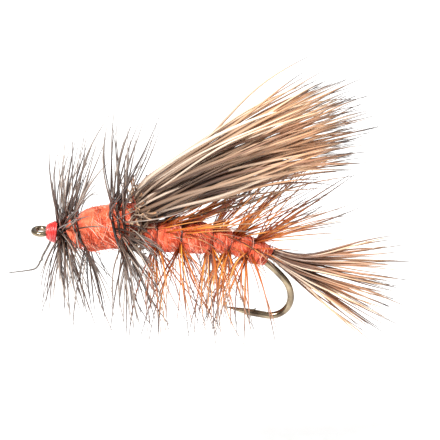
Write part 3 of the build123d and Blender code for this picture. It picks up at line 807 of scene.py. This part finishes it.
# ---- front feather ------------------------------------------------------------------------
# A grizzly cock's feather: close turns behind the head as a collar, one open turn over the
# thorax and close turns again in front of the wing. Its barbs are black and grey-brown, faintly
# barred across, glossy, and stiff enough to float the fly.
GRIZZLY_STEM_RADIUS = 0.13
GRIZZLY_REACH = 9.9
GRIZZLY_RADIUS = 0.08
COLLAR_START, COLLAR_WIDTH, COLLAR_TURNS = 1.49, 1.05, 4
COLLAR_RADIUS, COLLAR_SLANT, COLLAR_BARBS = 0.51, 0.04, 27
WAIST_STEM_LIFT, WAIST_SLANT, WAIST_BARBS = 0.18, 0.75, 36
NECK_TURNS, NECK_STEM_LIFT, NECK_SLANT, NECK_BARBS = 3, 0.08, 0.6, 38
# Angles in degrees and lengths as shares, as for the body feather.
COLLAR_LEAN, GRIZZLY_LEAN, GRIZZLY_LEAN_SPREAD = 1, 5, 10
BELOW_LEAN, BESIDE_LEAN, NECK_BESIDE_LEAN = (-12, 26), (0, 16), (-6, 26)
GRIZZLY_BOW, GRIZZLY_HANG = (-6, 16), 1.1
GRIZZLY_LENGTHS, NECK_LENGTHS = (0.6, 1.0), (0.6, 0.92)
NECK_PRESSED_BARBS = 10
NECK_PRESSED_FAN, NECK_PRESSED_LEAN, NECK_PRESSED_BOW = (62, 140), (56, 76), -10
NECK_PRESSED_LENGTHS, NECK_PRESSED_HANG = (0.3, 0.55), (0.7, 1.6)

grizzly_barbs = strand_finish(
    "grizzly cock feather barbs",
    ((0.0, "#140804"), (0.25, "#2A150E"), (0.6, "#3E2C26"), (1.0, "#544A48")),
    ((0.0, "#2A1812"), (0.25, "#5A4438"), (0.6, "#6E5C52"), (1.0, "#766C68")),
    ((0.0, "#6E5648"), (0.25, "#AE9A8A"), (0.6, "#BEB0A4"), (1.0, "#A8A09C")),
    roughness=0.35, bars=(9, 0.25), coat=0.3,
)
grizzly_stem = strand_finish(
    "grizzly cock feather stem",
    ((0.0, "#0E0806"), (1.0, "#0E0806")),
    ((0.0, "#1C120E"), (1.0, "#1C120E")),
    ((0.0, "#4A3A30"), (1.0, "#4A3A30")),
    roughness=0.3, coat=0.5,
)
grizzly_turns = []
for i in range(COLLAR_TURNS):
    station = COLLAR_START + COLLAR_WIDTH * (i + 0.6) / (COLLAR_TURNS + 0.2)
    grizzly_turns.append((station, 0.0, COLLAR_RADIUS, COLLAR_SLANT, COLLAR_BARBS))
waist_turn = (THORAX_WAIST, WAIST_LIFT, WAIST_RADIUS + WAIST_STEM_LIFT, WAIST_SLANT, WAIST_BARBS)
grizzly_turns.append(waist_turn)
for i in range(NECK_TURNS):
    station = THORAX_END + (NECK_END - THORAX_END) * (i + 0.5) / NECK_TURNS
    grizzly_turns.append((station, NECK_LIFT, NECK_RADIUS + NECK_STEM_LIFT,
                          NECK_SLANT - 0.1 * i, NECK_BARBS))
waist_number = COLLAR_TURNS + 1

stems = bmesh.new()
chance = random.Random(81)
for station, lift, radius, slant, _ in grizzly_turns:
    stem_turn(stems, station, lift, radius, GRIZZLY_STEM_RADIUS, -slant, chance)
station, lift, radius, slant, _ = waist_turn
stem_turn(stems, station + 0.26, lift, radius + 0.06, GRIZZLY_STEM_RADIUS * 1.15, -slant, chance)
stems = settle(stems, "grizzly_feather_stem", grizzly_stem)
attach(stems, "fly")
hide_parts("front_hackle_quill")

for number, (station, lift, radius, slant, count) in enumerate(grizzly_turns, 1):
    barbs = bmesh.new()
    for i in range(count):
        around = math.tau * (i + chance.uniform(0, 0.9)) / count
        below = (1 - math.cos(around)) / 2
        beside = abs(math.sin(around))
        lean = chance.gauss(COLLAR_LEAN if number < waist_number else GRIZZLY_LEAN,
                            GRIZZLY_LEAN_SPREAD)
        lean = lean + below * chance.uniform(*BELOW_LEAN) + beside * chance.uniform(*BESIDE_LEAN)
        hang = GRIZZLY_HANG * beside if below > 0.3 else 0.0
        if number > waist_number and below > 0.25:
            lean += beside * chance.uniform(*NECK_BESIDE_LEAN)
        here = station - slant * math.cos(around) + chance.uniform(-0.1, 0.1)
        bow = chance.uniform(*GRIZZLY_BOW)
        lengths = NECK_LENGTHS if number > waist_number else GRIZZLY_LENGTHS
        reach = GRIZZLY_REACH * chance.uniform(*lengths)
        wound_barb(barbs, here, lift, radius, around, lean, bow, reach, GRIZZLY_RADIUS, chance, hang)
    for _ in range(NECK_PRESSED_BARBS if number > waist_number else 0):
        around = math.radians(chance.uniform(*NECK_PRESSED_FAN)) * chance.choice((-1, 1))
        here = station - slant * math.cos(around) + chance.uniform(0, 0.4)
        wound_barb(barbs, here, lift, radius - 0.05, around, chance.uniform(*NECK_PRESSED_LEAN),
                   NECK_PRESSED_BOW, GRIZZLY_REACH * chance.uniform(*NECK_PRESSED_LENGTHS),
                   GRIZZLY_RADIUS, chance, chance.uniform(*NECK_PRESSED_HANG))
    barbs = settle(barbs, f"grizzly_feather_barbs_{number}", grizzly_barbs)
    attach(barbs, "fly")
    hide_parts(f"front_hackle_turn_{number}")


# ---- head ---------------------------------------------------------------------------------
# Fluorescent red thread wound to a short cone behind the eye, tied off with a whip finish and
# sealed with clear head varnish, which makes it glossy and lets light into the thread.
HEAD_START = 0.5
HEAD_LENGTH = 0.95
HEAD_FRONT_RADIUS, HEAD_REAR_RADIUS = 0.6, 1.06
LAYER_INSET, CORE_INSET, CROSSING_LIFT = 0.05, 0.08, 0.01
LAYER_RINGS, LAYER_TURNS = 260, 10
CROSSINGS = ((0.14, 4), (-0.12, 5))  # slant and turns of the two layers that cross the first
CROSSING_START, CROSSING_STOP = 0.68, 1.31
PLY_SIZE, RIPPLE_SIZE = 0.12, 0.3

head_strands = strand_finish(
    "varnished polyester thread fluorescent red",
    ((0.0, "#B41612"), (1.0, "#B41612")),
    ((0.0, "#E02E28"), (1.0, "#E02E28")),
    ((0.0, "#F86C68"), (1.0, "#F86C68")),
    roughness=0.35, coat=1.0,
)


def head_layer(off):
    """The outline of a layer of thread whose middle lies so far off the cone's surface."""

    def outline(station):
        share = min(1.0, max(0.0, (station - HEAD_START) / HEAD_LENGTH))
        radius = HEAD_FRONT_RADIUS + (HEAD_REAR_RADIUS - HEAD_FRONT_RADIUS) * share + off
        return 0.0, radius, radius

    return outline


head_end = HEAD_START + HEAD_LENGTH
head = bmesh.new()
chance = random.Random(91)
core = head_layer(-CORE_INSET)
roll(head, lambda share: core(HEAD_START + HEAD_LENGTH * share)[:2], HEAD_START, head_end)
layer_form = strand_form(6, LAYER_RINGS)
wound(head, layer_form, LAYER_RINGS, LAYER_TURNS, HEAD_START + 0.05, head_end,
      head_layer(-LAYER_INSET), 0.0, chance)
for slant, turns in CROSSINGS:
    wound(head, layer_form, LAYER_RINGS, turns, CROSSING_START, CROSSING_STOP,
          head_layer(CROSSING_LIFT), slant, chance)
head = settle(head, "head_thread_cone", head_strands)
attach(head, "fly")
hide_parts("head_thread")

knot_thread = bpy.data.materials.new("varnished polyester thread, finishing knot")
knot_thread.use_nodes = True
place = add_node(knot_thread, "ShaderNodeTexCoord").outputs["Object"]
ply = add_node(knot_thread, "ShaderNodeTexNoise", {"Vector": place, "Scale": 1 / (PLY_SIZE * MM)})
red = add_node(knot_thread, "ShaderNodeValToRGB", {"Fac": ply.outputs["Fac"]}, stops=(
    (0.35, "#D0241E"), (0.65, "#FF5E58"),
))
add_node(knot_thread, "ShaderNodeBsdfPrincipled", {
    "Base Color": red.outputs["Color"], "Roughness": 0.35, "Coat Weight": 1.0,
})
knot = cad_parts["whip_finish"]
knot.data.materials.clear()
knot.data.materials.append(knot_thread)

varnish = bpy.data.materials.new("clear cellulose head varnish")
varnish.use_nodes = True
place = add_node(varnish, "ShaderNodeTexCoord").outputs["Object"]
ripple = add_node(varnish, "ShaderNodeTexNoise", {"Vector": place, "Scale": 1 / (RIPPLE_SIZE * MM)})
ripples = add_node(varnish, "ShaderNodeBump", {
    "Height": ripple.outputs["Fac"], "Strength": 0.2, "Distance": 0.02 * MM,
})
tint = add_node(varnish, "ShaderNodeValToRGB", {"Fac": ripple.outputs["Fac"]}, stops=(
    (0.3, "#F2C4B4"), (0.7, "#FCE8DE"),
))
add_node(varnish, "ShaderNodeBsdfPrincipled", {
    "Base Color": tint.outputs["Color"], "Roughness": 0.06, "IOR": 1.49,
    "Transmission Weight": 0.7, "Normal": ripples.outputs["Normal"],
})
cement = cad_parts["head_cement"]
cement.data.materials.clear()
cement.data.materials.append(varnish)


# ---- stray stem ---------------------------------------------------------------------------
# The clipped-off end of the front feather's stem, caught by the last turns of thread: a stiff
# grey-brown stalk that hangs below the eye, kinks where it was bent, and curls at the kink.
STRAY_POINTS = (
    (0.95, 0.0, -0.5), (0.9, 0.0, -1.0), (0.55, -0.05, -1.75), (0.12, -0.1, -2.62),
    (0.2, -0.1, -2.82), (0.02, -0.1, -2.9), (-0.1, -0.1, -3.3), (-0.36, -0.1, -3.72),
    (-0.75, -0.07, -3.9), (-1.6, 0.0, -4.12), (-2.4, 0.07, -4.3), (-2.85, 0.1, -4.42),
)
STRAY_TAPER = ((0, 0.5, 1), (0.12, 0.1, 0.05))
stray = bmesh.new()
points = np.array(STRAY_POINTS)
places = np.linspace(0, len(points) - 1, STEM_RINGS + 1)
path = np.column_stack([np.interp(places, range(len(points)), points[:, k]) for k in range(3)])
for _ in range(2):
    path[1:-1] = (path[:-2] + 2 * path[1:-1] + path[2:]) / 4
radii = np.interp(np.linspace(0, 1, STEM_RINGS + 1), *STRAY_TAPER)
plant(stray, stem_form, path, radii, np.array((0.0, 1.0, 0.0)), 3)
stray_finish = strand_finish(
    "clipped feather stem",
    ((0.0, "#2E241E"), (1.0, "#3A322E")),
    ((0.0, "#4A3E36"), (1.0, "#4A423E")),
    ((0.0, "#7A6C62"), (1.0, "#6E6660")),
    roughness=0.4, bars=(24, 0.3),
)
stray = settle(stray, "stray_feather_stem", stray_finish)
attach(stray, "fly")
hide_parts("stray_quill")


# ---- studio -------------------------------------------------------------------------------
# A matt white floor well below the fly, a broad soft light over its head end and a weaker one
# behind, under a pale even sky, seen from in front and a little above.
FLOOR_DROP = 22.0
FLOOR_SIZE = 4000.0
PAPER_TOOTH = 2.0
SKY_STRENGTH = 0.55
LAMP_DISTANCE = 500.0
LAMPS = (  # name, power in watts, size, direction from the fly
    ("key_light", 4.6, 160.0, (-0.45, -0.75, 1.1)),
    ("rim_light", 1.2, 300.0, (0.8, 0.7, 0.9)),
)
VIEW_TILT, VIEW_ROLL = math.radians(25), math.radians(3)
VIEW_WIDTH = 39.6
VIEW_CENTRE = Vector((16.12, 0.0, 2.055)) * MM
LENS, SENSOR = 200.0, 36.0
CLIP_NEAR, CLIP_FAR = 10.0, 20000.0

floor = bmesh.new()
bmesh.ops.create_grid(floor, x_segments=8, y_segments=8, size=FLOOR_SIZE / 2 * MM)
floor_height = cad_box[0].z - FLOOR_DROP * MM
bmesh.ops.translate(floor, verts=floor.verts, vec=(0, 0, floor_height))
matt_white = bpy.data.materials.new("matt white paper")
matt_white.use_nodes = True
place = add_node(matt_white, "ShaderNodeTexCoord").outputs["Object"]
tooth = add_node(matt_white, "ShaderNodeTexNoise", {"Vector": place, "Scale": 1 / (PAPER_TOOTH * MM)})
paper = add_node(matt_white, "ShaderNodeValToRGB", {"Fac": tooth.outputs["Fac"]}, stops=(
    (0.3, "#F6F6F5"), (0.7, "#F8F8F8"),
))
add_node(matt_white, "ShaderNodeBsdfPrincipled", {
    "Base Color": paper.outputs["Color"], "Roughness": 0.9,
})
floor = settle(floor, "studio_floor", matt_white)

sky = bpy.data.worlds.new("pale sky")
sky.use_nodes = True
sky.node_tree.nodes["Background"].inputs["Color"].default_value = (1.0, 1.0, 1.0, 1.0)
sky.node_tree.nodes["Background"].inputs["Strength"].default_value = SKY_STRENGTH
bpy.context.scene.world = sky
bpy.context.scene.view_settings.view_transform = "Standard"

fly_middle = (cad_box[0] + cad_box[1]) / 2
for name, power, size, direction in LAMPS:
    lamp = bpy.data.lights.new(name, "AREA")
    lamp.energy = power
    lamp.size = size * MM
    towards = Vector(direction).normalized()
    holder = bpy.data.objects.new(name, lamp)
    holder.location = fly_middle + towards * LAMP_DISTANCE * MM
    holder.rotation_euler = towards.to_track_quat("Z", "Y").to_euler()
    bpy.context.scene.collection.objects.link(holder)

distance = VIEW_WIDTH * MM * LENS / SENSOR
level_up = Vector((0, math.sin(VIEW_TILT), math.cos(VIEW_TILT)))
level_right = Vector((1, 0, 0))
forward = Vector((0, math.cos(VIEW_TILT), -math.sin(VIEW_TILT)))
right = level_right * math.cos(VIEW_ROLL) + level_up * math.sin(VIEW_ROLL)
upward = level_up * math.cos(VIEW_ROLL) - level_right * math.sin(VIEW_ROLL)
lens = bpy.data.cameras.new("camera")
lens.lens, lens.sensor_width = LENS, SENSOR
lens.clip_start, lens.clip_end = CLIP_NEAR * MM, CLIP_FAR * MM
camera = bpy.data.objects.new("camera", lens)
camera.matrix_world = Matrix.Translation(VIEW_CENTRE - forward * distance) @ Matrix(
    (right, upward, -forward)).transposed().to_4x4()
bpy.context.scene.collection.objects.link(camera)
bpy.context.scene.camera = camera
